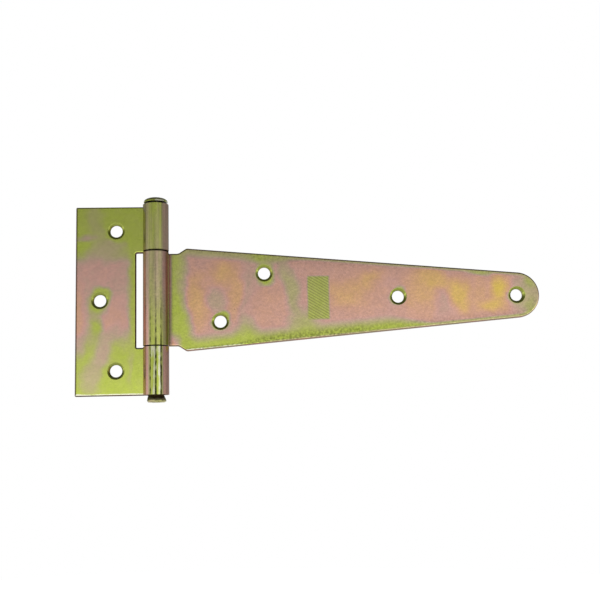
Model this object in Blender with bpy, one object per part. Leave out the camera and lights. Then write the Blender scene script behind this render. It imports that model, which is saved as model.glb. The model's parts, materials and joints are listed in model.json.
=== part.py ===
"""Tee hinge of plated steel: a post leaf and a long tapered strap leaf, each punched from sheet and rolled into
knuckles, turning on one headed pin whose tail is spread so that it can't come out.

Frame: metres, +Z up along the pin. The strap leaf points to +X, the knuckles stand out to the front at -Y, and
both leaves' backs lie in the plane Y = 0. The origin is on the post leaf's back, midway between its outer holes.
"""

import math

import bmesh
import bpy
from mathutils import Matrix, Vector

MM = 0.001

# Sheet, pin and fits
SHEET = 2.5 * MM
PIN_DIAMETER = 8.0 * MM
PIN_CLEARANCE = 0.15 * MM  # radial, pin to knuckle
KNUCKLE_END_GAP = 0.5 * MM  # between neighbouring knuckles
ROLL_END_GAP = 0.45 * MM  # between a curl's cut end and the leaf that it closes on
EDGE_ROUND = 0.4 * MM  # rounding that the punch leaves along the blank's front edges

# Post leaf, measured from the pin's axis
POST_REACH = 41.5 * MM
POST_HEIGHT = 98.0 * MM
POST_CORNER = 0.8 * MM
NOTCH_REACH = 10.6 * MM
NOTCH_HEIGHT = 49.2 * MM
NOTCH_CORNER = 0.6 * MM
OUTER_HOLE_REACH = 20.8 * MM
OUTER_HOLE_INSET = 12.7 * MM  # from the leaf's top and bottom edges
MIDDLE_HOLE_REACH = 29.1 * MM

# Strap leaf, measured from the pin's axis
STRAP_REACH = 200.0 * MM
NECK_CLEARANCE = 0.5 * MM  # the neck's length past the notch's edge, so that the wide shoulders miss it
SHOULDER_RUN = 4.2 * MM
SHOULDER_RISE = 2.7 * MM
SHOULDER_CORNER = 2.0 * MM
NECK_CORNER = 2.5 * MM
TIP_RADIUS = 12.0 * MM
LOWER_HOLE = (32.6 * MM, -11.7 * MM)
UPPER_HOLE = (55.5 * MM, 13.2 * MM)
MIDDLE_HOLE = (125.3 * MM, 0.0)

# Screw holes
HOLE_DIAMETER = 6.3 * MM
COUNTERSINK_DIAMETER = 8.6 * MM
COUNTERSINK_ANGLE = math.radians(90)
DRILL_OVERSHOOT = 1.0 * MM

# Pin head and tail
HEAD_OVERHANG = 2.1 * MM  # past the pin, all round
HEAD_RIM = 0.8 * MM
HEAD_CROWN = 1.95 * MM
HEAD_FLAT_DIAMETER = 2.4 * MM
HEAD_GAP = 0.75 * MM  # under the head, which is the pin's play along its axis
TAIL_LENGTH = 3.8 * MM
TAIL_NECK = 0.2 * MM  # straight pin that shows below the knuckle before it spreads
TAIL_SPREAD = 0.95 * MM  # past the pin, all round
TAIL_ROUND = 0.4 * MM
TAIL_PUNCH_DIAMETER = 6.4 * MM  # dimple of the punch that spread the tail
TAIL_PUNCH_DEPTH = 1.4 * MM

# How finely the curves are divided
ROLL_STEP = math.radians(6)
CORNER_STEP = math.radians(8)
EDGE_SEGMENTS = 2
HOLE_SEGMENTS = 40
PIN_SEGMENTS = 64
CROWN_STEPS = 8
WELD_DISTANCE = 0.01 * MM
SMOOTH_ANGLE = math.radians(20)

# Worked out from the sizes above
BORE_RADIUS = PIN_DIAMETER / 2 + PIN_CLEARANCE
KNUCKLE_RADIUS = BORE_RADIUS + SHEET
NEUTRAL_RADIUS = KNUCKLE_RADIUS - SHEET / 2
AXIS = Vector((OUTER_HOLE_REACH, -KNUCKLE_RADIUS, 0.0))
STRAP_KNUCKLE_HEIGHT = NOTCH_HEIGHT - 2 * KNUCKLE_END_GAP
NECK_REACH = NOTCH_REACH + NECK_CLEARANCE
# The curl stops where its outer corner is the gap's width in front of the leaf.
ROLL_ANGLE = 1.5 * math.pi + math.asin((BORE_RADIUS - ROLL_END_GAP) / KNUCKLE_RADIUS)
ROLL_LENGTH = ROLL_ANGLE * NEUTRAL_RADIUS

# Colours of the yellow plating, and the finish of each piece
PLATING = {
    "post_leaf": ((0.42, 0.40, 0.17, 1.0), 0.36),
    "strap_leaf": ((0.50, 0.37, 0.22, 1.0), 0.36),
    "hinge_pin": ((0.36, 0.35, 0.17, 1.0), 0.30),
}


def clear_scene():
    for obj in list(bpy.data.objects):
        bpy.data.objects.remove(obj, do_unlink=True)


def plating(name):
    """Yellow passivated zinc on steel, as a plain metal."""
    colour, roughness = PLATING[name]
    material = bpy.data.materials.new(name + "_plating")
    material.use_nodes = True
    shader = material.node_tree.nodes["Principled BSDF"]
    shader.inputs["Base Color"].default_value = colour
    shader.inputs["Metallic"].default_value = 1.0
    shader.inputs["Roughness"].default_value = roughness
    material.diffuse_color = colour
    return material


def add_object(name, bm, origin):
    """A named object from bm, whose points are measured from the object's origin."""
    bmesh.ops.recalc_face_normals(bm, faces=bm.faces)
    mesh = bpy.data.meshes.new(name)
    bm.to_mesh(mesh)
    bm.free()
    obj = bpy.data.objects.new(name, mesh)
    obj.location = origin
    bpy.context.scene.collection.objects.link(obj)
    return obj


def smooth_rounds(obj):
    """Smooth shading on the rolled and turned surfaces, with the punched edges left crisp."""
    obj.data.shade_smooth()
    obj.data.set_sharp_from_angle(angle=SMOOTH_ANGLE)


# A blank's outline is a list of corners (s, z, radius). s runs along the sheet from the line where the leaf
# meets its knuckle: positive to the leaf's edge, and negative into the curl.


def rounded(corners):
    """The closed outline through the corners, each turned as an arc of its radius."""
    points = []
    for i, (s, z, radius) in enumerate(corners):
        here = Vector((s, z))
        if radius == 0:
            points.append(here)
            continue
        before = (Vector(corners[i - 1][:2]) - here).normalized()
        after = (Vector(corners[(i + 1) % len(corners)][:2]) - here).normalized()
        half = before.angle(after) / 2
        centre = here + (before + after).normalized() * (radius / math.sin(half))
        start = here + before * (radius / math.tan(half)) - centre
        end = here + after * (radius / math.tan(half)) - centre
        turn = -start.angle_signed(end)
        steps = math.ceil(abs(turn) / CORNER_STEP)
        points += [centre + Matrix.Rotation(turn * k / steps, 2) @ start for k in range(steps + 1)]
    return points


def mirrored(corners):
    return [(s, -z, radius) for s, z, radius in reversed(corners)]


def post_outline():
    """The post leaf's blank: a rectangle notched for the strap leaf's knuckle, with a tab above and below it."""
    top, notch = POST_HEIGHT / 2, NOTCH_HEIGHT / 2
    upper = [
        (POST_REACH, top, POST_CORNER),
        (-ROLL_LENGTH, top, 0),
        (-ROLL_LENGTH, notch, 0),
        (NOTCH_REACH, notch, NOTCH_CORNER),
    ]
    return rounded(upper + mirrored(upper))


def strap_outline():
    """The strap leaf's blank: knuckle tab and neck, sloping shoulders, and a taper to the round tip."""
    neck = STRAP_KNUCKLE_HEIGHT / 2
    shoulder = neck + SHOULDER_RISE
    shoulder_reach = NECK_REACH + SHOULDER_RUN
    # Each tapered edge runs from its shoulder's corner to touch the tip's circle. They would meet at the apex.
    run = STRAP_REACH - TIP_RADIUS - shoulder_reach
    taper = math.atan2(shoulder, run) - math.asin(TIP_RADIUS / math.hypot(run, shoulder))
    apex = shoulder_reach + shoulder / math.tan(taper)
    upper = [
        (shoulder_reach, shoulder, SHOULDER_CORNER),
        (NECK_REACH, neck, NECK_CORNER),
        (-ROLL_LENGTH, neck, 0),
    ]
    return rounded([(apex, 0, TIP_RADIUS)] + upper + mirrored(upper))


# A leaf is made as in the press: first the flat blank, then the curl wrapped round the pin.


def flat_blank(outline):
    """The blank as a plate in (s, z, depth), depth 0 at its back, with the front edges rounded by the punch."""
    bm = bmesh.new()
    base = bm.faces.new([bm.verts.new((*point, 0)) for point in outline])
    raised = bmesh.ops.extrude_face_region(bm, geom=[base])["geom"]
    front = [item for item in raised if isinstance(item, bmesh.types.BMVert)]
    bmesh.ops.translate(bm, vec=(0, 0, SHEET), verts=front)
    bmesh.ops.recalc_face_normals(bm, faces=bm.faces)
    bmesh.ops.bevel(
        bm,
        geom=[edge for edge in bm.edges if all(v.co.z > 0 for v in edge.verts)],
        offset=EDGE_ROUND,
        segments=EDGE_SEGMENTS,
        profile=0.5,
        affect="EDGES",
    )
    return bm


def roll_up(bm, side):
    """Wraps the blank's negative s round the pin's axis, and points the leaf to side, +1 or -1 along X."""
    strips = math.ceil(ROLL_ANGLE / ROLL_STEP)
    for k in range(strips):
        line = (-ROLL_LENGTH * k / strips, 0, 0)
        everything = bm.verts[:] + bm.edges[:] + bm.faces[:]
        bmesh.ops.bisect_plane(bm, geom=everything, plane_co=line, plane_no=(1, 0, 0))
    for vert in bm.verts:
        s, z, depth = vert.co
        radius = KNUCKLE_RADIUS - depth
        angle = max(0.0, -s / NEUTRAL_RADIUS)
        along = s if s > 0 else -radius * math.sin(angle)
        vert.co = (side * along, radius * math.cos(angle), z)


def turned(profile, segments):
    """A solid of revolution about Z from (radius, height) points that start and end on the axis."""
    bm = bmesh.new()
    verts = [bm.verts.new((radius, 0, height)) for radius, height in profile]
    edges = [bm.edges.new(pair) for pair in zip(verts, verts[1:])]
    bmesh.ops.spin(bm, geom=verts + edges, axis=(0, 0, 1), cent=(0, 0, 0), angle=2 * math.pi, steps=segments)
    bmesh.ops.remove_doubles(bm, verts=bm.verts, dist=WELD_DISTANCE)
    return bm


def hole_cutter(s, z, side):
    """A countersunk drill, run in from the front at distance s from the pin's axis and height z."""
    radius, mouth = HOLE_DIAMETER / 2, COUNTERSINK_DIAMETER / 2
    sink = (mouth - radius) / math.tan(COUNTERSINK_ANGLE / 2)
    flare = mouth + DRILL_OVERSHOOT * math.tan(COUNTERSINK_ANGLE / 2)
    bm = turned(
        [
            (0, -DRILL_OVERSHOOT),
            (radius, -DRILL_OVERSHOOT),
            (radius, SHEET - sink),
            (flare, SHEET + DRILL_OVERSHOOT),
            (0, SHEET + DRILL_OVERSHOOT),
        ],
        HOLE_SEGMENTS,
    )
    cutter = add_object(f"drill_{s}_{z}", bm, (AXIS.x + side * s, 0, z))
    # The drill's axis turns from +Z to -Y, so that height 0 is the sheet's back.
    cutter.rotation_euler = (math.pi / 2, 0, 0)
    return cutter


def drill(leaf, holes, side):
    """Cuts the countersunk holes, and removes the cutters."""
    cutters = [hole_cutter(s, z, side) for s, z in holes]
    for cutter in cutters:
        cut = leaf.modifiers.new("screw_hole", "BOOLEAN")
        cut.operation = "DIFFERENCE"
        cut.solver = "EXACT"
        cut.object = cutter
    graph = bpy.context.evaluated_depsgraph_get()
    drilled = bpy.data.meshes.new_from_object(leaf.evaluated_get(graph))
    leaf.modifiers.clear()
    leaf.data = drilled
    for cutter in cutters:
        bpy.data.objects.remove(cutter, do_unlink=True)


def make_leaf(name, outline, holes, side):
    bm = flat_blank(outline)
    roll_up(bm, side)
    leaf = add_object(name, bm, AXIS)
    drill(leaf, holes, side)
    leaf.data.materials.clear()
    leaf.data.materials.append(plating(name))
    smooth_rounds(leaf)


def make_pin():
    """The pin: a crowned head above the upper knuckle, and a tail spread by a punch below the lower one."""
    shank = PIN_DIAMETER / 2
    head = shank + HEAD_OVERHANG
    tail = shank + TAIL_SPREAD
    punch = TAIL_PUNCH_DIAMETER / 2
    flat = HEAD_FLAT_DIAMETER / 2
    knuckle_top = POST_HEIGHT / 2
    underside = knuckle_top + HEAD_GAP
    rim = underside + HEAD_RIM
    end = -knuckle_top - TAIL_LENGTH
    crown = []
    for k in range(CROWN_STEPS + 1):
        a = math.pi / 2 * k / CROWN_STEPS
        crown.append((flat + (head - flat) * math.sin(a), rim + HEAD_CROWN * math.cos(a)))
    profile = [
        (0, rim + HEAD_CROWN),
        *crown,
        (head, underside),
        (shank, underside),
        (shank, -knuckle_top - TAIL_NECK),
        (tail, end + TAIL_ROUND),
        (tail - TAIL_ROUND, end),
        (punch, end),
        (0, end + TAIL_PUNCH_DEPTH),
    ]
    pin = add_object("hinge_pin", turned(profile, PIN_SEGMENTS), AXIS)
    pin.data.materials.append(plating("hinge_pin"))
    smooth_rounds(pin)


def main():
    clear_scene()
    outer_hole = POST_HEIGHT / 2 - OUTER_HOLE_INSET
    post_holes = [(OUTER_HOLE_REACH, outer_hole), (MIDDLE_HOLE_REACH, 0.0), (OUTER_HOLE_REACH, -outer_hole)]
    tip_hole = (STRAP_REACH - TIP_RADIUS, 0.0)
    make_leaf("post_leaf", post_outline(), post_holes, -1)
    make_leaf("strap_leaf", strap_outline(), [LOWER_HOLE, UPPER_HOLE, MIDDLE_HOLE, tip_hole], 1)
    make_pin()


main()
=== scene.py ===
import json
import math

import bmesh
import bpy
from mathutils import Matrix, Vector, noise


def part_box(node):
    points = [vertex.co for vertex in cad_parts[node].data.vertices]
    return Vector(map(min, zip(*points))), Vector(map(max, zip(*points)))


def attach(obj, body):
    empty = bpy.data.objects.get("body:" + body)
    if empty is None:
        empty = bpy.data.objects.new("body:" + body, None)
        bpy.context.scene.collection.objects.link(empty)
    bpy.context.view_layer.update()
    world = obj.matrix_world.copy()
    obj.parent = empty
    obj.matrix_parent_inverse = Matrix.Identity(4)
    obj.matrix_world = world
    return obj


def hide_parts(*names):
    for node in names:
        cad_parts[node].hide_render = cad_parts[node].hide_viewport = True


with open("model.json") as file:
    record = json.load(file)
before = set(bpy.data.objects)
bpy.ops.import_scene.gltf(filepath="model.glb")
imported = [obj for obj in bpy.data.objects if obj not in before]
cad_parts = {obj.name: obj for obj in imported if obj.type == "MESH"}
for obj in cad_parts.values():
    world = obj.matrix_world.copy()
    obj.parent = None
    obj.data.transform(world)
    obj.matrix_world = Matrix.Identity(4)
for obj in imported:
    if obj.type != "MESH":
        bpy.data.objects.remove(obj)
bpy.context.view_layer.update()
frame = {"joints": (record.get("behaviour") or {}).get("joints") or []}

# --------------------------------------------------------------------------------------------------
# Post leaf
# A rectangle of 2.5 mm steel, punched with a notch and three countersunk holes. Its tabs are rolled
# forward into knuckles. It is zinc plated and yellow passivated, which leaves a thin film: green where
# the film is thin, by cut edges and holes, and rose or gold where it is thick.

MM = 0.001
SHEET = 2.5 * MM
pin_axis = Vector(frame["joints"][0]["pos_m"])
knuckle_radius = -pin_axis.y
bore_radius = knuckle_radius - SHEET
neutral_radius = knuckle_radius - SHEET / 2
post_low, post_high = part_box("post_leaf")
post_reach = pin_axis.x - post_low.x
post_height = post_high.z - post_low.z

SEAM_GAP = 0.45 * MM  # left open where a curl closes on its own leaf
FRONT_ROUND = 0.85 * MM  # the punch draws the sheet's front edges round
BACK_ROUND = 0.20 * MM
FACE_COSINE = 0.9  # a facet that faces along the sheet's thickness at least this squarely is its face
CORNER_STEP = math.radians(5)
ROLL_STEP = math.radians(2)
FLAT_PITCH = math.radians(24)  # each stroke of the rolling tool leaves a slight flat along the knuckle
FLAT_PHASE = math.radians(4)
FLAT_DEPTH = 0.09 * MM
roll_angle = 1.5 * math.pi + math.asin((bore_radius - SEAM_GAP) / knuckle_radius)
roll_length = roll_angle * neutral_radius

POST_CORNER = 0.6 * MM
NOTCH_REACH = 10.6 * MM
NOTCH_HEIGHT = 49.2 * MM
NOTCH_CORNER = 0.6 * MM
OUTER_HOLE_REACH = 20.8 * MM
OUTER_HOLE_INSET = 12.7 * MM
MIDDLE_HOLE_REACH = 29.1 * MM
HOLE_RADIUS = 3.15 * MM
COUNTERSINK_RADIUS = 4.3 * MM
MOUTH_BREAK = 0.18 * MM  # the hole's sharp edges are broken by this much
OVERSHOOT = 1 * MM  # the hole's tool reaches this far past the sheet
HOLE_SEGMENTS = 96
CREASE = math.radians(35)  # edges sharper than this stay sharp

FACE, CUT, SINK = 0, 1, 2  # material slots: the sheet's faces, its cut edges, and the countersinks


def rounded(corners):
    """The closed outline through the corners (along, up, radius), each turned as an arc of its radius."""
    points = []
    for i, (along, up, radius) in enumerate(corners):
        here = Vector((along, up))
        if radius == 0:
            points.append(here)
            continue
        before = (Vector(corners[i - 1][:2]) - here).normalized()
        after = (Vector(corners[(i + 1) % len(corners)][:2]) - here).normalized()
        half = before.angle(after) / 2
        centre = here + (before + after).normalized() * (radius / math.sin(half))
        start = here + before * (radius / math.tan(half)) - centre
        end = here + after * (radius / math.tan(half)) - centre
        turn = -start.angle_signed(end)
        steps = math.ceil(abs(turn) / CORNER_STEP)
        points += [centre + Matrix.Rotation(turn * k / steps, 2) @ start for k in range(steps + 1)]
    return points


def mirrored(corners):
    """The lower half of an outline, from its upper half."""
    return [(along, -up, radius) for along, up, radius in reversed(corners)]


def round_edges(bm, depth, width, segments):
    """Rounds the blank's outline on the face at that depth."""
    rim = [edge for edge in bm.edges if all(abs(v.co.z - depth) < 1e-7 for v in edge.verts)]
    bmesh.ops.bevel(bm, geom=rim, offset=width, segments=segments, profile=0.5, affect="EDGES")


def punched_blank(outline):
    """The flat blank before rolling, in (along, up, depth) with depth 0 at its back."""
    bm = bmesh.new()
    base = bm.faces.new([bm.verts.new((*point, 0)) for point in outline])
    raised = bmesh.ops.extrude_face_region(bm, geom=[base])["geom"]
    front = [item for item in raised if isinstance(item, bmesh.types.BMVert)]
    bmesh.ops.translate(bm, vec=(0, 0, SHEET), verts=front)
    bmesh.ops.recalc_face_normals(bm, faces=bm.faces)
    round_edges(bm, SHEET, FRONT_ROUND, 4)
    round_edges(bm, 0, BACK_ROUND, 2)
    for face in bm.faces:
        face.material_index = FACE if abs(face.normal.z) > FACE_COSINE else CUT
    return bm


def roll_knuckles(bm, side):
    """Wraps the blank's tabs forward round the pin, and points the leaf along X to side, +1 or -1."""
    strips = math.ceil(roll_angle / ROLL_STEP)
    for k in range(strips):
        line = (-roll_length * k / strips, 0, 0)
        everything = bm.verts[:] + bm.edges[:] + bm.faces[:]
        bmesh.ops.bisect_plane(bm, geom=everything, plane_co=line, plane_no=(1, 0, 0))
    for vert in bm.verts:
        along, up, depth = vert.co
        angle = max(0.0, -along / neutral_radius)
        from_middle = 2 * (((angle - side * FLAT_PHASE) / FLAT_PITCH + 0.5) % 1) - 1
        flat = FLAT_DEPTH * (1 - depth / SHEET) * (1 - from_middle**2) * min(1.0, angle / FLAT_PITCH)
        radius = knuckle_radius - depth - flat
        across = along if along > 0 else -radius * math.sin(angle)
        vert.co = pin_axis + Vector((side * across, radius * math.cos(angle), up))


def lathe(profile, segments):
    """A turned solid about Z, from (radius, height) points that start and end on the axis."""
    bm = bmesh.new()
    verts = [bm.verts.new((radius, 0, height)) for radius, height in profile]
    edges = [bm.edges.new(pair) for pair in zip(verts, verts[1:])]
    turn = {"axis": (0, 0, 1), "cent": (0, 0, 0), "angle": 2 * math.pi, "steps": segments}
    bmesh.ops.spin(bm, geom=verts + edges, **turn)
    bmesh.ops.remove_doubles(bm, verts=bm.verts, dist=0.002 * MM)
    bmesh.ops.recalc_face_normals(bm, faces=bm.faces)
    return bm


def new_piece(name, bm):
    mesh = bpy.data.meshes.new(name)
    bm.to_mesh(mesh)
    bm.free()
    piece = bpy.data.objects.new(name, mesh)
    bpy.context.scene.collection.objects.link(piece)
    return piece


def hole_tool(x, z):
    """The punch and countersink for one screw hole, from the front, with the mouth's edge broken."""
    sink_depth = COUNTERSINK_RADIUS - HOLE_RADIUS
    bm = lathe(
        [
            (0, -OVERSHOOT),
            (HOLE_RADIUS + MOUTH_BREAK + OVERSHOOT, -OVERSHOOT),
            (HOLE_RADIUS, MOUTH_BREAK),
            (HOLE_RADIUS, SHEET - sink_depth),
            (COUNTERSINK_RADIUS - MOUTH_BREAK, SHEET - MOUTH_BREAK),
            (COUNTERSINK_RADIUS + 3 * MOUTH_BREAK, SHEET + MOUTH_BREAK),
            (COUNTERSINK_RADIUS + 3 * MOUTH_BREAK, SHEET + OVERSHOOT),
            (0, SHEET + OVERSHOOT),
        ],
        HOLE_SEGMENTS,
    )
    for face in bm.faces:
        face.material_index = SINK if face.calc_center_median().z > SHEET - sink_depth else CUT
    bm.transform(Matrix.Translation((x, 0, z)) @ Matrix.Rotation(math.pi / 2, 4, "X"))
    return new_piece("hole_tool", bm)


def settle(piece):
    """Makes the modifiers' result the piece's own mesh."""
    graph = bpy.context.evaluated_depsgraph_get()
    mesh = bpy.data.meshes.new_from_object(piece.evaluated_get(graph), depsgraph=graph)
    piece.modifiers.clear()
    piece.data = mesh


def cut_away(piece, tools):
    """Cuts the tools out of the piece and removes them, then sets how its surfaces shade."""
    for tool in tools:
        for material in piece.data.materials:
            tool.data.materials.append(material)
        cut = piece.modifiers.new("cut", "BOOLEAN")
        cut.operation = "DIFFERENCE"
        cut.solver = "EXACT"
        cut.object = tool
    settle(piece)
    for tool in tools:
        bpy.data.objects.remove(tool, do_unlink=True)
    piece.data.shade_smooth()
    piece.data.set_sharp_from_angle(angle=CREASE)
    shading = piece.modifiers.new("shading", "WEIGHTED_NORMAL")
    shading.keep_sharp = True
    shading.weight = 100
    settle(piece)


def wire(tree, kind, inputs=None, **settings):
    """A shader node with its settings, and with numbers or other nodes' outputs in its inputs."""
    node = tree.nodes.new(kind)
    for key, value in settings.items():
        setattr(node, key, value)
    for key, value in (inputs or {}).items():
        if isinstance(value, bpy.types.NodeSocket):
            tree.links.new(value, node.inputs[key])
        else:
            node.inputs[key].default_value = value
    return node


def calc(tree, operation, *values):
    return wire(tree, "ShaderNodeMath", dict(enumerate(values)), operation=operation).outputs[0]


def fade(tree, value, start, end, result=(0.0, 1.0)):
    """A smooth step of value from start to end."""
    inputs = {"Value": value, "From Min": start, "From Max": end, "To Min": result[0], "To Max": result[1]}
    return wire(tree, "ShaderNodeMapRange", inputs, interpolation_type="SMOOTHSTEP").outputs[0]


def blend(tree, share, one, other):
    return wire(tree, "ShaderNodeMix", {0: share, 2: one, 3: other}).outputs[0]


def split(tree, place):
    return wire(tree, "ShaderNodeSeparateXYZ", {0: place}).outputs


def grain(tree, place, scale, detail=2.0, stretch=(1, 1, 1)):
    """Noise from 0 to 1 with features a metre over scale in size."""
    stretched = wire(tree, "ShaderNodeMapping", {"Vector": place, "Scale": stretch}).outputs[0]
    inputs = {"Vector": stretched, "Scale": scale, "Detail": detail}
    return wire(tree, "ShaderNodeTexNoise", inputs).outputs[0]


def cloud(tree, place, x, z, length, height, tilt=0.0, core=0.12):
    """1 about the point (x, z), fading to 0 at the rim of an ellipse of that half length and height."""
    inputs = {
        "Vector": place,
        "Location": (x, 0, z),
        "Rotation": (0, -math.radians(tilt), 0),
        "Scale": (length, 1000, height),
    }
    offset = wire(tree, "ShaderNodeMapping", inputs, vector_type="TEXTURE").outputs[0]
    reach = wire(tree, "ShaderNodeVectorMath", {0: offset}, operation="LENGTH").outputs["Value"]
    return fade(tree, reach, core, 1.0, (1.0, 0.0))


def layered(tree, place, film, patches, side):
    """Lays patches over a film: (reach from pin, height, half length, half height, tilt, film), in mm."""
    for reach, up, length, tall, tilt, level in patches:
        share = cloud(tree, place, pin_axis.x + side * reach * MM, up * MM, length * MM, tall * MM, tilt)
        film = blend(tree, share, film, level)
    return film


# The passivation's colours from bare zinc, where it is rubbed through, to its thickest. Every film
# below is a place on this scale.
FILM_COLOURS = [
    (0.00, (0.700, 0.690, 0.500)),
    (0.05, (0.432, 0.507, 0.080)),
    (0.12, (0.435, 0.475, 0.112)),
    (0.20, (0.443, 0.439, 0.160)),
    (0.30, (0.458, 0.410, 0.201)),
    (0.40, (0.492, 0.388, 0.250)),
    (0.50, (0.537, 0.365, 0.280)),
    (0.58, (0.597, 0.352, 0.292)),
    (0.66, (0.628, 0.360, 0.260)),
    (0.76, (0.649, 0.387, 0.213)),
    (0.86, (0.682, 0.437, 0.175)),
    (0.94, (0.695, 0.478, 0.140)),
    (1.00, (0.702, 0.508, 0.107)),
]

# How much the plating's brightness varies from place to place.
BRUSHING = 0.38
SAND = 0.32
STAINING = 0.14
DRIFT = 10 * MM  # how far the film's outlines are carried about


def places(tree):
    """The point on the piece, and the same point carried about, which breaks up the film's outlines."""
    place = wire(tree, "ShaderNodeTexCoord").outputs["Object"]
    inputs = {"Vector": place, "Scale": 75.0, "Detail": 3.0, "Roughness": 0.5}
    drift = wire(tree, "ShaderNodeTexNoise", inputs).outputs["Color"]
    inputs = {0: drift, 1: (0.5, 0.5, 0.5)}
    centred = wire(tree, "ShaderNodeVectorMath", inputs, operation="SUBTRACT").outputs[0]
    inputs = {0: centred, "Scale": DRIFT}
    reach = wire(tree, "ShaderNodeVectorMath", inputs, operation="SCALE").outputs[0]
    carried = wire(tree, "ShaderNodeVectorMath", {0: place, 1: reach}, operation="ADD").outputs[0]
    return place, carried


def plated(name, film_at, shade=1.0, roughness=0.20, marks_and_shade_at=None, grit=1.0, grazing=1.0):
    """Yellow passivated zinc. film_at gives the film's thickness, and marks_and_shade_at the dark marks and
    painted shade in it.

    grit is the strength of the fine texture, and grazing the brightness at a shallow angle.
    """
    material = bpy.data.materials.new(name)
    material.use_nodes = True
    tree = material.node_tree
    shader = tree.nodes["Principled BSDF"]
    shader.inputs["Metallic"].default_value = 1.0
    shader.inputs["Specular Tint"].default_value = (grazing, grazing, grazing, 1)
    place, carried = places(tree)
    mottle = calc(tree, "SUBTRACT", grain(tree, place, 260.0, 5.0), 0.5)
    film = calc(tree, "MULTIPLY_ADD", mottle, 0.12, film_at(tree, place, carried))
    ramp = wire(tree, "ShaderNodeValToRGB", {"Fac": film})
    stops = ramp.color_ramp.elements
    stops[0].color = (*FILM_COLOURS[0][1], 1)
    stops[1].position = 1.0
    stops[1].color = (*FILM_COLOURS[-1][1], 1)
    for position, colour in FILM_COLOURS[1:-1]:
        stops.new(position).color = (*colour, 1)
    brushed = grain(tree, place, 950.0, 4.0, (0.65, 1, 1))
    sand = grain(tree, place, 1500.0, 2.0)
    even = (1 - BRUSHING / 2 * grit - SAND / 2 * grit - STAINING / 2) * shade
    light = calc(tree, "MULTIPLY_ADD", brushed, BRUSHING * grit * shade, even)
    light = calc(tree, "MULTIPLY_ADD", sand, SAND * grit * shade, light)
    light = calc(tree, "MULTIPLY_ADD", grain(tree, place, 130.0, 3.0), STAINING * shade, light)
    pits = fade(tree, grain(tree, place, 800.0, 1.0), 0.73, 0.80, (1.0, 1 - 0.4 * grit))
    light = calc(tree, "MULTIPLY", light, pits)
    height = calc(tree, "MULTIPLY_ADD", brushed, 0.6, grain(tree, place, 420.0, 3.0))
    if marks_and_shade_at:
        marks_and_shade = marks_and_shade_at(tree, place)
        light = calc(tree, "MULTIPLY", light, calc(tree, "SUBTRACT", 1.0, marks_and_shade))
        height = calc(tree, "SUBTRACT", height, marks_and_shade)
    inputs = {0: ramp.outputs[0], "Scale": light}
    tint = wire(tree, "ShaderNodeVectorMath", inputs, operation="SCALE").outputs[0]
    tree.links.new(tint, shader.inputs["Base Color"])
    dull = calc(tree, "MULTIPLY_ADD", grain(tree, place, 700.0, 4.0), 0.12, roughness - 0.06)
    tree.links.new(dull, shader.inputs["Roughness"])
    bump = wire(tree, "ShaderNodeBump", {"Height": height, "Strength": 0.35, "Distance": 0.02 * MM})
    tree.links.new(bump.outputs[0], shader.inputs["Normal"])
    return material


def knuckle_zone(tree, place):
    """1 on the knuckles, and 0 on the flat leaves."""
    spoke = wire(tree, "ShaderNodeVectorMath", {0: place, 1: pin_axis}, operation="SUBTRACT").outputs[0]
    spoke = wire(tree, "ShaderNodeVectorMath", {0: spoke, 1: (1, 1, 0)}, operation="MULTIPLY").outputs[0]
    reach = wire(tree, "ShaderNodeVectorMath", {0: spoke}, operation="LENGTH").outputs["Value"]
    return fade(tree, reach, knuckle_radius + 0.2 * MM, knuckle_radius + 1.2 * MM, (1.0, 0.0))


TOOL_LINES = (-21, 4, 27)  # degrees round the knuckles from straight ahead
UPPER_GAP = NOTCH_HEIGHT / 2 - 0.25 * MM  # the middle of the gap under the upper knuckle


def knuckle_marks_and_shade(tree, place):
    """Dark marks on the knuckles: the rolling tool's scores, deeper towards the lower end, streaks
    along them, a duller lower end, and painted shade in the upper gap."""
    axes = split(tree, place)
    ahead = calc(tree, "SUBTRACT", pin_axis.y, axes["Y"])
    turn = calc(tree, "ARCTAN2", calc(tree, "SUBTRACT", axes["X"], pin_axis.x), ahead)
    scores = 0.0
    for line in TOOL_LINES:
        aside = calc(tree, "ABSOLUTE", calc(tree, "SUBTRACT", turn, math.radians(line)))
        score = fade(tree, aside, math.radians(1.5), math.radians(5.5), (1.0, 0.0))
        scores = calc(tree, "ADD", scores, score)
    broken = fade(tree, grain(tree, place, 700.0, 3.0, (1, 1, 0.5)), 0.40, 0.62, (0.45, 1.0))
    scores = calc(tree, "MULTIPLY", scores, broken)
    scores = calc(tree, "MULTIPLY", scores, fade(tree, axes["Z"], 22 * MM, -26 * MM, (0.05, 0.80)))
    streaks = calc(tree, "SUBTRACT", grain(tree, place, 900.0, 3.0, (1, 1, 0.03)), 0.42)
    scores = calc(tree, "MULTIPLY_ADD", streaks, 0.8, scores)
    scores = calc(tree, "ADD", scores, fade(tree, axes["Z"], -22 * MM, -28 * MM, (0.0, 0.13)))
    # Painted shade: the knuckle ends are darkened in the gap under the upper knuckle.
    from_gap = calc(tree, "ABSOLUTE", calc(tree, "SUBTRACT", axes["Z"], UPPER_GAP))
    scores = calc(tree, "ADD", scores, fade(tree, from_gap, 0.35 * MM, 0.8 * MM, (0.6, 0.0)))
    return calc(tree, "MULTIPLY", calc(tree, "MAXIMUM", scores, -0.15), knuckle_zone(tree, place))


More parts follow.
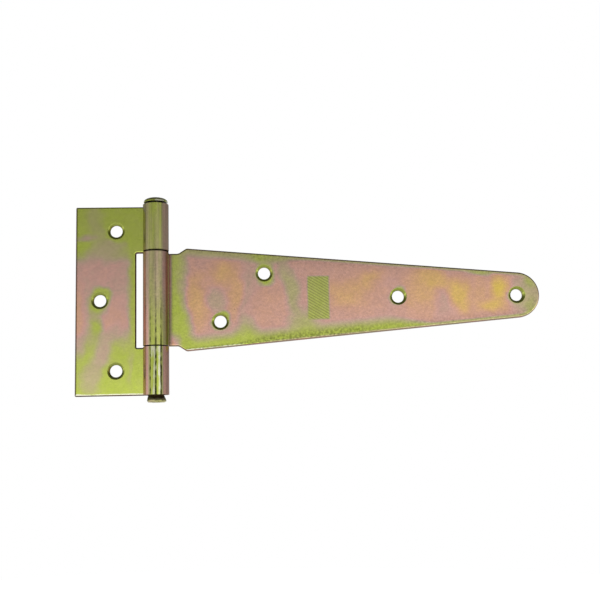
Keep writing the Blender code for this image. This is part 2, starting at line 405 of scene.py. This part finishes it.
def knuckle_film(tree, place, film, left, middle, right):
    """The knuckles' own film, thicker on their flanks. Each level is given for the top and the bottom."""
    axes = split(tree, place)
    across = calc(tree, "SUBTRACT", axes["X"], pin_axis.x)
    levels = [fade(tree, axes["Z"], 10 * MM, -19 * MM, level) for level in (left, middle, right)]
    streaks = calc(tree, "SUBTRACT", grain(tree, place, 260.0, 3.0, (1, 1, 0.06)), 0.5)
    rolled = calc(tree, "MULTIPLY_ADD", streaks, 0.6, levels[1])
    rolled = blend(tree, fade(tree, across, -1.8 * MM, -4.2 * MM), rolled, levels[0])
    rolled = blend(tree, fade(tree, across, 2.8 * MM, 4.6 * MM), rolled, levels[2])
    return blend(tree, knuckle_zone(tree, place), film, rolled)


HOLE_FILM = 0.09
FRONT_DEPTH = -1.2 * MM  # the front's film gives way to the back's between these two depths
BACK_DEPTH = -0.3 * MM


def thin_by_holes(tree, carried, film, holes):
    """Thins the film round each hole (x, z, reach)."""
    for x, z, reach in holes:
        film = blend(tree, cloud(tree, carried, x, z, reach, reach, 0.0, 0.50), film, HOLE_FILM)
    return film


def front_and_back(tree, place, film):
    """Keeps a film to the front of a leaf, and clouds the back loosely with one of its own."""
    loose = calc(tree, "MULTIPLY_ADD", grain(tree, place, 38.0, 4.0), 1.7, -0.45)
    return blend(tree, fade(tree, split(tree, place)["Y"], FRONT_DEPTH, BACK_DEPTH), film, loose)


outer_hole = post_height / 2 - OUTER_HOLE_INSET
post_holes = [
    (pin_axis.x - OUTER_HOLE_REACH, outer_hole),
    (pin_axis.x - MIDDLE_HOLE_REACH, 0.0),
    (pin_axis.x - OUTER_HOLE_REACH, -outer_hole),
]

# The clouds in the post leaf's film, as layered() takes them.
POST_PATCHES = [
    (31, 39, 7, 18, 8, 0.22),
    (36, 32, 8, 4, 0, 0.42),
    (40, 27, 7, 5, 0, 0.06),
    (23, 28, 14, 7, 0, 0.32),
    (30, 15, 20, 15, 0, 0.58),
    (22, -8, 14, 17, 0, 0.63),
    (41, -8, 6, 28, 0, 0.70),
    (31, -13, 6, 11, 0, 0.08),
    (28, -29, 6, 24, -24, 0.46),
    (33, -38, 8, 15, 0, 0.34),
    (12, -35, 6, 15, 0, 0.32),
]


def post_film(tree, place, carried):
    """Thick across the middle, and thin at the top, the bottom, the notch and round the holes; bare zinc
    along the lower edge as a painted highlight.
    """
    axes = split(tree, carried)
    film = fade(tree, axes["Z"], 27 * MM, 18 * MM, (0.08, 0.52))
    film = blend(tree, fade(tree, axes["Z"], -10 * MM, -29 * MM), film, 0.08)
    film = layered(tree, carried, film, POST_PATCHES, -1)
    to_notch = calc(tree, "SUBTRACT", pin_axis.x - NOTCH_REACH, axes["X"])
    film = blend(tree, fade(tree, to_notch, 1.0 * MM, 5.5 * MM, (1.0, 0.0)), film, 0.09)
    film = thin_by_holes(tree, carried, film, [(x, z, 8.0 * MM) for x, z in post_holes])
    # Painted highlight: the film is bare zinc, the palest colour on the scale, along the lower edge.
    lower_edge_highlight = fade(tree, split(tree, place)["Z"], post_low.z + 1.6 * MM, post_low.z + 0.8 * MM)
    film = blend(tree, lower_edge_highlight, film, 0.0)
    film = front_and_back(tree, place, film)
    return knuckle_film(tree, place, film, (0.30, 0.60), (0.16, -0.01), (0.46, 0.62))


def cut_film(tree, place, carried):
    """Every thickness in turn, as the sheared steel takes the film unevenly."""
    return grain(tree, place, 90.0, 4.0)


top, notch = post_height / 2, NOTCH_HEIGHT / 2
post_upper = [
    (post_reach, top, POST_CORNER),
    (-roll_length, top, 0),
    (-roll_length, notch, 0),
    (NOTCH_REACH, notch, NOTCH_CORNER),
]
post_blank = punched_blank(rounded(post_upper + mirrored(post_upper)))
roll_knuckles(post_blank, -1)
post_leaf = new_piece("post_leaf_plate", post_blank)
post_plating = plated("post leaf plating", post_film, marks_and_shade_at=knuckle_marks_and_shade, grit=0.5)
post_cut_plating = plated("plating on the post leaf's cut edges", cut_film, 0.22, 0.40, grazing=0.3)
# The countersinks are painted darker than the faces, as painted shade in the recessed holes.
shaded_sink_plating = plated("plating in countersinks with painted shade", lambda tree, place, carried: 0.10, 0.55, 0.26)
for material in (post_plating, post_cut_plating, shaded_sink_plating):
    post_leaf.data.materials.append(material)
cut_away(post_leaf, [hole_tool(x, z) for x, z in post_holes])
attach(post_leaf, "post_leaf")
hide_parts("post_leaf")

# --------------------------------------------------------------------------------------------------
# Strap leaf
# The long leaf that is screwed to the door: the same sheet, punched with sloping shoulders and a long
# taper to a round tip. Its one wide tab fills the post leaf's notch as the middle knuckle. A plain
# panel of slanted hatching is stamped across it, where the plating took thinly.

KNUCKLE_GAP = 0.5 * MM
NECK_CLEARANCE = 0.5 * MM
SHOULDER_RUN = 4.2 * MM
SHOULDER_RISE = 2.7 * MM
SHOULDER_CORNER = 2.0 * MM
NECK_CORNER = 2.5 * MM
TIP_RADIUS = 12.0 * MM
strap_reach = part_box("strap_leaf")[1].x - pin_axis.x
neck = notch - KNUCKLE_GAP
neck_reach = NOTCH_REACH + NECK_CLEARANCE
shoulder = neck + SHOULDER_RISE
shoulder_reach = neck_reach + SHOULDER_RUN
tip_reach = strap_reach - TIP_RADIUS
run = tip_reach - shoulder_reach
taper = math.atan2(shoulder, run) - math.asin(TIP_RADIUS / math.hypot(run, shoulder))
apex = shoulder_reach + shoulder / math.tan(taper)

PANEL_REACH = 83.5 * MM
PANEL_LENGTH = 5.6 * MM
PANEL_HEIGHT = 11.3 * MM
PANEL_BLUR = 0.7 * MM
PANEL_FILM = 0.15
HATCH_PITCH = 1.5 * MM
HATCH_SLANT = 0.6

# Each hole with the reach of the thin film round it.
strap_holes = [
    (pin_axis.x + 32.6 * MM, -11.7 * MM, 7.0 * MM),
    (pin_axis.x + 55.5 * MM, 13.2 * MM, 8.0 * MM),
    (pin_axis.x + 125.3 * MM, 0.0, 6.4 * MM),
    (pin_axis.x + tip_reach, 0.0, 6.0 * MM),
]

# The clouds in the strap's film, as layered() takes them.
STRAP_PATCHES = [
    (47, -2, 8, 30, 0, 0.47),
    (57, -3, 18, 22, 0, 0.65),
    (69, 5, 6, 26, 12, 0.30),
    (76, -14, 11, 13, 0, 0.24),
    (46, -19, 10, 11, 0, 0.14),
    (102, 2, 22, 19, 0, 0.69),
    (97, 2, 13, 10, 0, 0.78),
    (109, 9, 16, 7, 25, 0.79),
    (138, 3, 16, 19, 0, 0.77),
    (146, 9, 14, 7, -12, 0.86),
    (149, -4, 8, 14, 0, 0.54),
    (158, 0, 9, 15, 15, 0.92),
    (168, 0, 9, 16, 0, 0.73),
    (179, 3, 8, 12, -12, 0.97),
    (176, -6, 11, 6, 0, 0.92),
    (170, 13, 12, 4, -5, 0.04),
    (194, 0, 14, 20, 0, 0.36),
    (195, 8, 5, 5, 0, 0.18),
    (197, -6, 5, 7, 0, 0.24),
    (21, -1, 9, 23, 0, 0.79),
    (35, 14, 12, 13, 20, 0.79),
    (40, 1, 6, 20, 0, 0.76),
    (31, 0, 7, 10, 0, 0.44),
]


def strap_edge_distance(tree, place):
    """How far in from the strap's long edges and its round tip a point lies."""
    axes = split(tree, place)
    past_tip = calc(tree, "SUBTRACT", axes["X"], pin_axis.x + tip_reach)
    widening = calc(tree, "MULTIPLY", calc(tree, "MINIMUM", past_tip, 0.0), -math.tan(taper))
    square = calc(tree, "POWER", calc(tree, "MAXIMUM", past_tip, 0.0), 2.0)
    square = calc(tree, "MULTIPLY_ADD", axes["Z"], axes["Z"], square)
    return calc(tree, "SUBTRACT", calc(tree, "ADD", widening, TIP_RADIUS), calc(tree, "SQRT", square))


def panel(tree, place):
    """1 inside the stamped panel, whose half length and half height are named above."""
    axes = split(tree, place)
    aside = calc(tree, "ABSOLUTE", calc(tree, "SUBTRACT", axes["X"], pin_axis.x + PANEL_REACH))
    wide = fade(tree, aside, PANEL_LENGTH - PANEL_BLUR, PANEL_LENGTH + PANEL_BLUR, (1.0, 0.0))
    upward = calc(tree, "ABSOLUTE", axes["Z"])
    high = fade(tree, upward, PANEL_HEIGHT - PANEL_BLUR, PANEL_HEIGHT + PANEL_BLUR, (1.0, 0.0))
    return calc(tree, "MULTIPLY", wide, high)


def strap_film(tree, place, carried):
    """Thick in the middle of the strap, and thin along its edges, at its neck and round the holes.
    It carries a painted highlight along its lower edge, and a painted reflection beside the knuckle.
    """
    axes = split(tree, carried)
    to_edge = strap_edge_distance(tree, place)
    film = layered(tree, carried, 0.60, STRAP_PATCHES, 1)
    above = fade(tree, axes["Z"], 4 * MM, 8 * MM)
    strip_width = fade(tree, axes["X"], pin_axis.x + 55 * MM, pin_axis.x + 80 * MM, (6.0 * MM, 2.4 * MM))
    strip = fade(tree, calc(tree, "DIVIDE", to_edge, strip_width), 0.25, 1.0, (0.95, 0.0))
    film = blend(tree, calc(tree, "MULTIPLY", strip, above), film, 0.26)
    film = blend(tree, cloud(tree, carried, pin_axis.x + 55 * MM, 24 * MM, 16 * MM, 8 * MM), film, 0.12)
    band = fade(tree, axes["X"], pin_axis.x + 118 * MM, pin_axis.x + 146 * MM, (9.0 * MM, 2.4 * MM))
    lower = fade(tree, calc(tree, "DIVIDE", to_edge, band), 0.25, 1.05, (1.0, 0.0))
    lower = calc(tree, "MULTIPLY", lower, fade(tree, axes["Z"], -4 * MM, -9 * MM))
    film = blend(tree, lower, film, 0.08)
    neck_level = fade(tree, axes["Z"], 16 * MM, -8 * MM, (0.14, 0.08))
    slope = calc(tree, "MULTIPLY_ADD", calc(tree, "MINIMUM", axes["Z"], 0.0), 0.25, axes["X"])
    neck_share = fade(tree, slope, pin_axis.x + 9.0 * MM, pin_axis.x + 17.5 * MM, (1.0, 0.0))
    film = blend(tree, neck_share, film, neck_level)
    film = blend(tree, cloud(tree, carried, pin_axis.x + 7 * MM, -22 * MM, 6 * MM, 7 * MM), film, 0.80)
    # Painted reflection: the film beside the knuckle is set thicker and browner, standing in for the
    # knuckle's flank reflected in the strap's face.
    root_reflection_level = fade(tree, axes["Z"], 6 * MM, -20 * MM, (0.72, 0.38))
    root_reflection = fade(tree, split(tree, place)["X"], pin_axis.x + 6.4 * MM, pin_axis.x + 8.4 * MM, (1.0, 0.0))
    film = blend(tree, root_reflection, film, root_reflection_level)
    # Painted highlight: the film along the lower edge is bare near the knuckle, thickening further along.
    rim = fade(tree, to_edge, 1.3 * MM, 0.8 * MM)
    under = calc(tree, "MULTIPLY", rim, fade(tree, axes["Z"], -4 * MM, -9 * MM))
    rim_highlight_level = fade(tree, axes["X"], pin_axis.x + 40 * MM, pin_axis.x + 70 * MM, (0.01, 0.30))
    film = blend(tree, under, film, rim_highlight_level)
    film = thin_by_holes(tree, carried, film, strap_holes)
    film = blend(tree, panel(tree, place), film, PANEL_FILM)
    film = front_and_back(tree, place, film)
    return knuckle_film(tree, place, film, (0.46, 0.60), (0.30, 0.10), (0.56, 0.26))


def strap_marks_and_shade(tree, place):
    """The panel's hatching, speckle along the edges, painted shade at the curl, and the knuckle's marks and
    painted shade.
    """
    axes = split(tree, place)
    across = calc(tree, "MULTIPLY_ADD", axes["X"], HATCH_SLANT, axes["Z"])
    wave = calc(tree, "SINE", calc(tree, "MULTIPLY", across, 2 * math.pi / HATCH_PITCH))
    hatching = calc(tree, "MULTIPLY", fade(tree, wave, -0.1, 0.9, (-0.08, 0.34)), panel(tree, place))
    front = fade(tree, axes["Y"], -1.2 * MM, -2.0 * MM)
    speckle = fade(tree, grain(tree, place, 800.0, 3.0), 0.36, 0.62, (0.05, 0.45))
    reach = fade(tree, axes["X"], pin_axis.x + 35 * MM, pin_axis.x + 65 * MM, (2.4 * MM, 6.5 * MM))
    near = fade(tree, calc(tree, "DIVIDE", strap_edge_distance(tree, place), reach), 0.3, 1.0, (1.0, 0.0))
    towards_pin = fade(tree, axes["X"], pin_axis.x + 130 * MM, pin_axis.x + 90 * MM, (0.5, 1.0))
    near = calc(tree, "MULTIPLY", near, towards_pin)
    near = calc(tree, "MULTIPLY", near, fade(tree, axes["Z"], 0.0, -5 * MM, (0.4, 1.0)))
    edge = calc(tree, "MULTIPLY", speckle, near)
    # Painted shade on the strap's face beside the knuckle, where the curl closes.
    seam_shade = fade(tree, axes["X"], pin_axis.x + 6.8 * MM, pin_axis.x + 9.2 * MM, (0.42, 0.0))
    seam_shade = calc(tree, "MULTIPLY", seam_shade, fade(tree, axes["X"], pin_axis.x + 4.0 * MM, pin_axis.x + 6.2 * MM))
    marks = calc(tree, "ADD", calc(tree, "MAXIMUM", hatching, edge), seam_shade)
    return calc(tree, "MULTIPLY_ADD", marks, front, knuckle_marks_and_shade(tree, place))


strap_upper = [
    (shoulder_reach, shoulder, SHOULDER_CORNER),
    (neck_reach, neck, NECK_CORNER),
    (-roll_length, neck, 0),
]
strap_blank = punched_blank(rounded([(apex, 0, TIP_RADIUS)] + strap_upper + mirrored(strap_upper)))
roll_knuckles(strap_blank, 1)
strap_leaf = new_piece("strap_leaf_plate", strap_blank)
strap_plating = plated("strap leaf plating", strap_film, marks_and_shade_at=strap_marks_and_shade)
strap_cut_plating = plated("plating on the strap leaf's cut edges", cut_film, 0.5, 0.40, grazing=0.6)
for material in (strap_plating, strap_cut_plating, shaded_sink_plating):
    strap_leaf.data.materials.append(material)
cut_away(strap_leaf, [hole_tool(x, z) for x, z, _ in strap_holes])
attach(strap_leaf, "strap_leaf")
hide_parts("strap_leaf")

# --------------------------------------------------------------------------------------------------
# Hinge pin
# An 8 mm steel pin with a low crowned head, dropped through the three knuckles. Its tail is spread by
# a punch, which leaves a dimple and an uneven rim. It is plated with the leaves.

PIN_RADIUS = 4.0 * MM
HEAD_RADIUS = 6.1 * MM
HEAD_RIM = 0.55 * MM
HEAD_CROWN = 2.05 * MM
HEAD_FLAT = 1.2 * MM
HEAD_GAP = 0.9 * MM  # from the upper knuckle to the head's underside
HEAD_BREAK = 0.2 * MM
TAIL_RADIUS = 4.95 * MM
TAIL_NECK = 0.2 * MM
TAIL_ROUND = 1.0 * MM
TAIL_SHIFT = 0.3 * MM  # the tail is spread a little more to one side
TAIL_UNEVEN = 0.06
TAIL_BIAS = 0.35  # taken off the unevenness, so that the rim keeps within its size
TAIL_LOBES = 2.3
TAIL_LIFT = 0.3 * MM
FLARE_STEPS = 8
FLARE_CURVE = 0.9
DIMPLE_RADIUS = 3.2 * MM
DIMPLE_DEPTH = 1.4 * MM
PIN_SEGMENTS = 128
PIN_CREASE = math.radians(40)
pin_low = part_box("hinge_pin")[0]
tail_top = -post_height / 2 - TAIL_NECK
head_underside = post_height / 2 + HEAD_GAP


def arc(centre, radii, start, end, steps):
    """Points from start to end degrees round centre, on an ellipse of the two radii."""
    points = []
    for k in range(steps + 1):
        turn = math.radians(start + (end - start) * k / steps)
        points.append((centre[0] + radii[0] * math.cos(turn), centre[1] + radii[1] * math.sin(turn)))
    return points


def pin_profile():
    """Head, shank and tail in (radius, height), from the crown's centre to the dimple's."""
    rim = head_underside + HEAD_RIM
    widest = pin_low.z + TAIL_ROUND
    flare = []
    for k in range(FLARE_STEPS + 1):
        share = k / FLARE_STEPS
        height = tail_top + (widest - tail_top) * share
        flare.append((PIN_RADIUS + (TAIL_RADIUS - PIN_RADIUS) * share**FLARE_CURVE, height))
    return [
        (0, rim + HEAD_CROWN),
        *arc((HEAD_FLAT, rim), (HEAD_RADIUS - HEAD_FLAT, HEAD_CROWN), 90, 0, 16),
        (HEAD_RADIUS, head_underside + HEAD_BREAK),
        (HEAD_RADIUS - HEAD_BREAK, head_underside),
        (PIN_RADIUS + HEAD_BREAK, head_underside),
        (PIN_RADIUS, head_underside - HEAD_BREAK),
        *flare,
        *arc((TAIL_RADIUS - TAIL_ROUND, widest), (TAIL_ROUND, TAIL_ROUND), 0, -90, 6)[1:],
        (DIMPLE_RADIUS, pin_low.z + 0.1 * MM),
        (DIMPLE_RADIUS - 0.5 * MM, pin_low.z + 0.5 * MM),
        (DIMPLE_RADIUS * 0.5, pin_low.z + DIMPLE_DEPTH * 0.85),
        (0, pin_low.z + DIMPLE_DEPTH),
    ]


pin_mesh = lathe(pin_profile(), PIN_SEGMENTS)
for vert in pin_mesh.verts:
    # The punch spreads the tail unevenly round its rim.
    spread = max(0.0, (tail_top - vert.co.z) / (tail_top - pin_low.z))
    uneven = noise.noise(Vector((vert.co.x, vert.co.y, 0)).normalized() * TAIL_LOBES)
    vert.co.x *= 1 + TAIL_UNEVEN * spread * (uneven - TAIL_BIAS)
    vert.co.y *= 1 + TAIL_UNEVEN * spread * (uneven - TAIL_BIAS)
    vert.co.x += TAIL_SHIFT * spread
    vert.co.z += TAIL_LIFT * max(0.0, uneven) * spread
bmesh.ops.translate(pin_mesh, vec=(pin_axis.x, pin_axis.y, 0), verts=pin_mesh.verts)
hinge_pin = new_piece("hinge_pin_turned", pin_mesh)
hinge_pin.data.shade_smooth()
hinge_pin.data.set_sharp_from_angle(angle=PIN_CREASE)


def pin_film(tree, place, carried):
    """Bare along the head's rim, thin over its crown and along the tail."""
    height = split(tree, place)["Z"]
    film = fade(tree, height, head_underside + 0.8 * MM, head_underside + 1.6 * MM, (0.02, 0.30))
    film = blend(tree, fade(tree, height, 0, pin_low.z), film, 0.30)
    mottle = calc(tree, "SUBTRACT", grain(tree, place, 300.0, 3.0), 0.5)
    return calc(tree, "MULTIPLY_ADD", mottle, 0.6, film)


def pin_marks_and_shade(tree, place):
    """Painted shade on the spread tail just under the knuckle, dirt and chips below it, painted shade over
    the crown, and painted shade under the head.
    """
    height = split(tree, place)["Z"]
    below = fade(tree, height, tail_top + 1 * MM, tail_top - 1 * MM)
    # Painted shade just under the knuckle, easing to a light darkening of dirt towards the tail's end.
    tail_shade_and_grime = fade(tree, height, pin_low.z + 1.3 * MM, pin_low.z + 2.2 * MM, (0.22, 0.80))
    chips = fade(tree, grain(tree, place, 650.0, 2.0), 0.45, 0.62, (0.0, 0.5))
    marks = calc(tree, "MULTIPLY", below, calc(tree, "MAXIMUM", tail_shade_and_grime, chips))
    # Painted shade darkens the crown.
    crown = fade(tree, height, head_underside + 0.9 * MM, head_underside + 1.5 * MM, (0.0, 0.32))
    shade = fade(tree, height, head_underside + 0.15 * MM, head_underside + 0.05 * MM, (0.0, 0.8))
    head = calc(tree, "MULTIPLY", calc(tree, "ADD", crown, shade), fade(tree, height, 0.0, 10 * MM))
    return calc(tree, "ADD", marks, head)


hinge_pin.data.materials.append(plated("pin plating", pin_film, 0.95, 0.26, pin_marks_and_shade))
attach(hinge_pin, "post_leaf")
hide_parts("hinge_pin")

# --------------------------------------------------------------------------------------------------
# Studio
# The hinge is held upright over a table of white acrylic that is lit from below. The room is bright low
# down in front of the hinge, dimmer overhead and dimmest behind it, with two faint soft boxes in front.

SOFT_BOXES = [(-58, 0.14), (28, 0.19)]  # degrees round from straight in front, and brightness
BOX_EDGE = math.cos(math.radians(34))  # a soft box fades out this far from its middle
BOX_CORE = math.cos(math.radians(8))
LOW_GLOW = 1.12  # brightness of the room at table height
GLOW_FALL = 8.0  # how fast that fades upward
BEHIND_SHARE = 0.20  # the part of it that is left behind the hinge
WALLS = (0.30, 0.18)  # brightness of the walls, and overhead
BRIGHTEST = 2.5
TABLE_DROP = 0.20
TABLE_RADIUS = 0.9
TABLE_GLOW = 0.9

table_mesh = bmesh.new()
bmesh.ops.create_circle(table_mesh, cap_ends=True, radius=TABLE_RADIUS, segments=96)
bmesh.ops.translate(table_mesh, vec=(0, 0, pin_low.z - TABLE_DROP), verts=table_mesh.verts)
table = new_piece("light_table", table_mesh)
acrylic = bpy.data.materials.new("lit white acrylic")
acrylic.use_nodes = True
acrylic_shader = acrylic.node_tree.nodes["Principled BSDF"]
acrylic_shader.inputs["Base Color"].default_value = (0.85, 0.85, 0.84, 1)
acrylic_shader.inputs["Roughness"].default_value = 0.6
acrylic_shader.inputs["Emission Color"].default_value = (1, 1, 1, 1)
acrylic_shader.inputs["Emission Strength"].default_value = TABLE_GLOW
table.data.materials.append(acrylic)

room = bpy.data.worlds.new("white room")
room.use_nodes = True
room_tree = room.node_tree
room_tree.nodes.clear()
axes = split(room_tree, wire(room_tree, "ShaderNodeTexCoord").outputs["Generated"])
low = calc(room_tree, "EXPONENT", calc(room_tree, "MULTIPLY", axes["Z"], -GLOW_FALL))
ahead = calc(room_tree, "MULTIPLY_ADD", axes["Y"], -0.966, calc(room_tree, "MULTIPLY", axes["X"], -0.10))
low = calc(room_tree, "MULTIPLY", low, fade(room_tree, ahead, -0.30, 0.70, (BEHIND_SHARE, 1.0)))
walls = fade(room_tree, axes["Z"], 0.25, 0.75, WALLS)
glow = calc(room_tree, "MINIMUM", calc(room_tree, "MULTIPLY_ADD", low, LOW_GLOW, walls), BRIGHTEST)
for side, strength in SOFT_BOXES:
    across = calc(room_tree, "MULTIPLY", axes["X"], math.sin(math.radians(side)))
    toward = calc(room_tree, "MULTIPLY_ADD", axes["Y"], -math.cos(math.radians(side)), across)
    box = fade(room_tree, toward, BOX_EDGE, BOX_CORE, (0.0, strength))
    glow = calc(room_tree, "MULTIPLY_ADD", box, fade(room_tree, axes["Z"], 0.75, 0.30), glow)
seen = wire(room_tree, "ShaderNodeLightPath").outputs["Is Camera Ray"]
white = calc(room_tree, "MAXIMUM", seen, glow)
background = wire(room_tree, "ShaderNodeBackground", {"Color": (1, 1, 1, 1), "Strength": white})
wire(room_tree, "ShaderNodeOutputWorld", {"Surface": background.outputs[0]})
bpy.context.scene.world = room
bpy.context.scene.view_settings.view_transform = "Standard"

# The camera is a little to one side and a little low, turned slightly about its own line of sight.
CAMERA_DISTANCE = 511.7 * MM
CAMERA_SIDE = math.radians(-3.11)
CAMERA_RISE = math.radians(-7.73)
CAMERA_TURN = math.radians(-1.25)
CAMERA_LENS = 59.66  # mm, on a sensor 36 mm wide
CAMERA_SENSOR = 36.0
aim = pin_axis + Vector((73.66 * MM, 0, -1.75 * MM))
forward = Vector((
    -math.sin(CAMERA_SIDE) * math.cos(CAMERA_RISE),
    math.cos(CAMERA_SIDE) * math.cos(CAMERA_RISE),
    -math.sin(CAMERA_RISE),
))
camera_data = bpy.data.cameras.new("camera")
camera_data.sensor_width = CAMERA_SENSOR
camera_data.lens = CAMERA_LENS
camera_data.clip_start = 10 * MM
camera = bpy.data.objects.new("camera", camera_data)
facing = forward.to_track_quat("-Z", "Y").to_matrix().to_4x4()
turned = Matrix.Rotation(CAMERA_TURN, 4, "Z")
camera.matrix_world = Matrix.Translation(aim - forward * CAMERA_DISTANCE) @ facing @ turned
bpy.context.scene.collection.objects.link(camera)
bpy.context.scene.camera = camera
